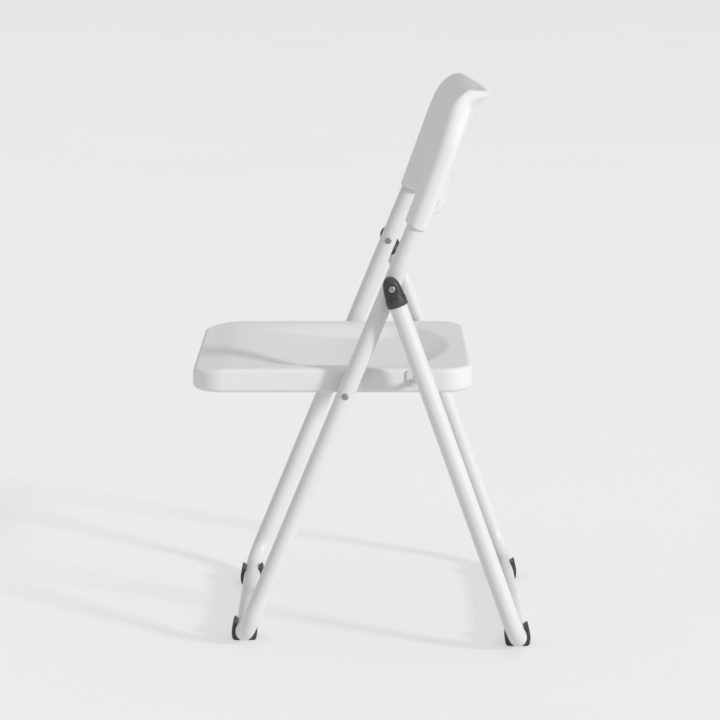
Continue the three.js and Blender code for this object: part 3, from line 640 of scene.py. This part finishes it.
tongue_x = (222.9, 249.5)
def cap(name, sd, node):
    up = np.array([0.0, -math.sin(RT), math.cos(RT)])
    side = np.array([0.0, math.cos(RT), math.sin(RT)])
    o = np.array([sd * RX, PIV_Y, PIV_Z])
    # moulded body by stations up the leg: half widths across (w), and the X reach of the rounded-box section
    st = [(-27.0, 14.1, 14.1, 14.1, 2.0), (-26.7, 14.55, 14.55, 14.55, 2.0), (-26.0, 14.8, 14.8, 14.8, 2.0), (-16.6, 14.8, 14.8, 14.8, 2.0), (-15.9, 14.7, 14.7, 14.7, 2.0),
          (-15.3, 14.35, 14.35, 14.3, 2.0), (-14.6, 14.05, 14.05, 13.95, 2.0), (-13.0, 13.9, 13.8, 13.6, 2.05), (-10, 13.75, 13.3, 13.3, 2.25), (-6, 13.35, 13.3, 13.3, 2.6),
          (-2, 12.85, 13.3, 13.3, 2.9), (2, 12.2, 13.3, 13.3, 3.1), (5.5, 11.35, 13.3, 13.2, 3.1), (8.5, 10.3, 13.1, 12.9, 2.9), (11, 8.9, 12.5, 12.3, 2.7),
          (13, 7.2, 11.6, 11.3, 2.5), (14.4, 5.4, 10.4, 10.1, 2.3), (15.4, 3.5, 9.0, 8.6, 2.2), (15.9, 1.8, 7.4, 7.0, 2.1)]
    n = 56
    V, F = [], []
    for z, w, xo, xi, p in st:
        for k in range(n):
            t = 2 * math.pi * k / n
            c, s = math.cos(t), math.sin(t)
            cx = math.copysign(abs(c) ** (2 / p), c)
            cw = math.copysign(abs(s) ** (2 / p), s)
            xr = xo if c > 0 else xi
            V.append(o + up * z + side * (w * cw) + np.array([sd * xr * cx, 0, 0]))
    m = len(st)
    for i in range(m - 1):
        for k in range(n):
            k2 = (k + 1) % n
            F.append((i * n + k, (i + 1) * n + k, (i + 1) * n + k2, i * n + k2))
    V.append(o + up * 16.0)
    for k in range(n):
        F.append(((m - 1) * n + k, len(V) - 1, (m - 1) * n + (k + 1) % n))
    V.append(o + up * -27.0)
    for k in range(n):
        F.append((k, (k + 1) % n, len(V) - 1))
    ob = raw(name, V, F)
    if not QUICK:
        cut = [raw("b1", *lathe([(0, -30), (13.3, -30), (13.3, -26.6), (12.95, -26.0), (12.95, -12.6), (0, -12.6)], o, up, 48)),
               raw("b2", *lathe([(0, 12.0), (6.6, 12.0), (7.2, 14.2), (0, 14.2)], o, (sd, 0, 0), 40)),
               raw("b3", *lathe([(0, -20), (4.15, -20), (4.15, 20), (0, 20)], o, (1, 0, 0), 32))]
        boolean(ob, cut)
        V2, F2 = lathe([(0, -30), (9.8, -30), (10.9, -28.4), (10.9, -12.0), (0, -12.0)], o, up, 48)
        boolean(ob, [raw("spig", V2, F2)], "UNION")
        boolean(ob, [raw("b4", *lathe([(0, -20), (4.15, -20), (4.15, 20), (0, 20)], o, (1, 0, 0), 32))])
    return dress(ob, BLACK, "rear_legs", [node], 40)

def rivet_profile(x0, x1, r, h_in, h_out, d_in, d_out):
    return ([(0.0, x0 - d_in)] + list(reversed(dome(h_in, x0 - 0.3, d_in - 0.3, 6, -1)))[1:] + [(h_in, x0), (r, x0), (r, x1), (h_out, x1)]
            + dome(h_out, x1 + 0.3, d_out - 0.3, 6, 1))

arc_pts = [(SPY + 11 * math.cos(a), SPZ + 11 * math.sin(a)) for a in np.linspace(math.pi, 2 * math.pi, 25)]
bracket_outline = fillet([(SPY + 19.2, SPZ + 20, 3.4), (SPY - 2.8, SPZ + 20, 3.4)] + [(a, b, 0) for a, b in arc_pts])
rr = 5.1
hook_arc = [(REST[0] + rr * math.cos(a), REST[1] + rr * math.sin(a), 0) for a in np.linspace(math.pi - 0.2, 0.02, 17)]
rest_outline = fillet([(61, 390, 3), (75.6, 390, 1.2)] + hook_arc + [(90.6, 398.5, 1.0), (95.5, 398.5, 1.4), (99, 404, 1.5), (99, 413, 3), (61, 413, 5)])

for label, sd in (("left", 1), ("right", -1)):
    glide("front_glide_pad_" + label, sd * 142, FBY, "front_frame", "front_glide_" + label)
    glide("rear_glide_pad_" + label, sd * 170, RBY, "rear_legs", "rear_glide_" + label)
    cap("pivot_cap_" + label, sd, "rear_leg_cap_" + label)
    V, F = lathe(rivet_profile(195.5, 249.2, 3.9, 5.0, 5.0, 1.6, 2.1), (0, PIV_Y, PIV_Z), (sd, 0, 0), 40)
    finish_piece("pivot_rivet_" + label, V, F, ZINC, "front_frame", ["main_pivot_rivet_" + label], 35)
    V, F = lathe(rivet_profile(190.0, 221.3, 3.9, 4.6, 4.7, 1.4, 1.6), (0, SPY, SPZ), (sd, 0, 0), 40)
    finish_piece("seat_rivet_" + label, V, F, ZINC, "front_frame", ["seat_pivot_rivet_" + label], 35)
    V, F = lathe([(4.35, 221.5), (7.8, 221.5), (8, 221.7), (8, 222.4), (7.8, 222.6), (4.35, 222.6)], (0, PIV_Y, PIV_Z), (sd, 0, 0), 40, True)
    finish_piece("pivot_spacer_" + label, V, F, ZINC, "rear_legs", ["pivot_washer_" + label], 35)
    V, F = lathe([(4.35, 193.1), (7.1, 193.1), (7.4, 193.4), (7.4, 195.1), (7.1, 195.4), (4.35, 195.4)], (0, SPY, SPZ), (sd, 0, 0), 40, True)
    finish_piece("seat_bush_" + label, V, F, BLACK, "seat", ["seat_pivot_bush_" + label], 35)
    V, F = lathe([(0, 190.5), (3.7, 190.5), (4.3, 190.8), (4.5, 191.4), (4.5, 221.5)] + [(5.3, 221.5), (5.6, 221.8), (5.6, 222.9), (5.3, 223.2), (3.2, 223.2), (3.2, 228.6), (2.6, 229), (0, 229)],
                 (0, REST[0], REST[1]), (sd, 0, 0), 40)
    finish_piece("rest_pin_" + label, V, F, PAINT, "rear_legs", ["seat_rest_pin_" + label], 35)
    plate_mesh("hinge_bracket_" + label, bracket_outline, 190.3, 192.8, PAINT, "seat", "seat_hinge_bracket_" + label, sd, (SPY, SPZ, 4.35))
    plate_mesh("rest_hook_" + label, rest_outline, 190.3, 192.8, PAINT, "seat", "seat_rest_plate_" + label, sd)
    for tag, dy in (("front", 0.2), ("rear", 10.8)):
        screw("hinge_screw_%s_%s" % (tag, label), (sd * 193.0, SPY + dy, 394), (sd, 0, 0), "seat", "hinge_bracket_screw_%s_%s" % (tag, label))
    for tag, (sy, sz) in (("lower", (67, 396)), ("upper", (75, 405))):
        screw("hook_screw_%s_%s" % (tag, label), (sd * 193.0, sy, sz), (sd, 0, 0), "seat", "rest_plate_screw_%s_%s" % (tag, label))
    v_s = float(back_mid(FX, 132.0) + back_half(FX, 132.0) * back_edge(FX, 132.0)) + 0.1
    screw("back_screw_" + label, tuple(front_at(sd * FX, 132.0, v_s)), v_ax, "front_frame", "backrest_screw_" + label, 3.9, 1.1, 1.9, 8.5)
    V, F = lathe([(0, FRONT_TOP - 14), (9.4, FRONT_TOP - 14), (10.8, FRONT_TOP - 11), (10.8, FRONT_TOP + 0.4), (12.2, FRONT_TOP + 0.4), (12.4, FRONT_TOP + 0.7), (12.4, FRONT_TOP + 2.1), (12.1, FRONT_TOP + 2.4), (0, FRONT_TOP + 2.4)],
                 (sd * FX, PIV_Y, PIV_Z), (0, math.sin(FT), math.cos(FT)), 40)
    finish_piece("tube_end_plug_" + label, V, F, BLACK, "front_frame", ["upright_end_plug_" + label], 35)
V, F = lathe([(0, 5), (4.4, 5), (4.9, 4.4), (4.9, 2.4), (7.5, 1.4), (7.5, 0.2), (6.9, -0.3), (0, -0.5)], (0, 60, SB), (0, 0, 1), 40)
finish_piece("seat_blow_plug", V, F, RESIN, "seat", ["blow_hole_plug"], 35)

# ------------------------------------------------------------------ floor, light, camera
fl = bpy.data.meshes.new("floor")
S = 60.0
fl.from_pydata([(-S, -S, 0), (S, -S, 0), (S, S, 0), (-S, S, 0)], [], [(0, 1, 2, 3)])
floor = bpy.data.objects.new("floor", fl)
scene.collection.objects.link(floor)
fm, ft, fb, fco = new_mat("floor_pale")
glow = ft.nodes.new("ShaderNodeEmission")
both = ft.nodes.new("ShaderNodeMixShader")
both.inputs["Fac"].default_value = 0.42
out = ft.nodes["Material Output"]
ft.links.new(glow.outputs["Emission"], both.inputs[1])
ft.links.new(fb.outputs["BSDF"], both.inputs[2])
ft.links.new(both.outputs["Shader"], out.inputs["Surface"])
glow.inputs["Strength"].default_value = 0.94
fn = add_noise(ft, fco, 1.4, 3, 0.5)
sep = ft.nodes.new("ShaderNodeSeparateXYZ")
ft.links.new(fco, sep.inputs["Vector"])
# painted light falloff: the floor colour and its glow run from 0.90 near the camera to 0.85 far away, standing in for
# light falling off with distance; the noise multiplied in is the floor's own mottle
depth = mapr(ft, sep.outputs["X"], -16.0, 0.6, 0.0, 1.0)
painted_falloff_ramp = ramp(ft, depth.outputs["Result"], [(0.0, (0.85, 0.85, 0.85)), (0.6, (0.88, 0.88, 0.88)), (1.0, (0.90, 0.90, 0.90))])
painted_falloff_and_mottle = ft.nodes.new("ShaderNodeMixRGB")
painted_falloff_and_mottle.blend_type = "MULTIPLY"
painted_falloff_and_mottle.inputs["Fac"].default_value = 0.02
ft.links.new(painted_falloff_ramp.outputs["Color"], painted_falloff_and_mottle.inputs["Color1"])
ft.links.new(fn.outputs["Fac"], painted_falloff_and_mottle.inputs["Color2"])
ft.links.new(painted_falloff_and_mottle.outputs["Color"], fb.inputs["Base Color"])
ft.links.new(painted_falloff_and_mottle.outputs["Color"], glow.inputs["Color"])
fb.inputs["Roughness"].default_value = 0.9
fb.inputs["Specular IOR Level"].default_value = 0.1
fl.materials.append(fm)

world = bpy.data.worlds.new("studio")
scene.world = world
world.use_nodes = True
bg = world.node_tree.nodes["Background"]
bg.inputs["Color"].default_value = (1, 1, 1, 1)
bg.inputs["Strength"].default_value = 0.487

def sun(name, travel, strength, angle):
    d = bpy.data.lights.new(name, "SUN")
    d.energy, d.angle = strength, math.radians(angle)
    o = bpy.data.objects.new(name, d)
    scene.collection.objects.link(o)
    o.rotation_mode = "QUATERNION"
    o.rotation_quaternion = Vector(travel).normalized().to_track_quat("-Z", "Y")
    o.location = (2, 2, 2)
    return o
sun("key", (-1.46, -2.09, -1.0), 2.08, 8)
sun("overhead", (0.0, 0.0, -1.0), 0.67, 100)

cam_d = bpy.data.cameras.new("camera")
cam = bpy.data.objects.new("camera", cam_d)
scene.collection.objects.link(cam)
scene.camera = cam
el, dist = 0.2004, 3.776
target = Vector((0.0, -0.0048, 0.3891))
back = Vector((math.cos(el), 0, math.sin(el)))
cam.location = target + back * dist
cam.rotation_mode = "QUATERNION"
cam.rotation_quaternion = (-back).to_track_quat("-Z", "Y")
cam_d.sensor_width = 36.0
cam_d.lens = 2514.26 / 720 * 36
cam_d.clip_start, cam_d.clip_end = 0.1, 200
scene.view_settings.view_transform = "Standard"
scene.view_settings.look = "None"

bpy.context.view_layer.update()
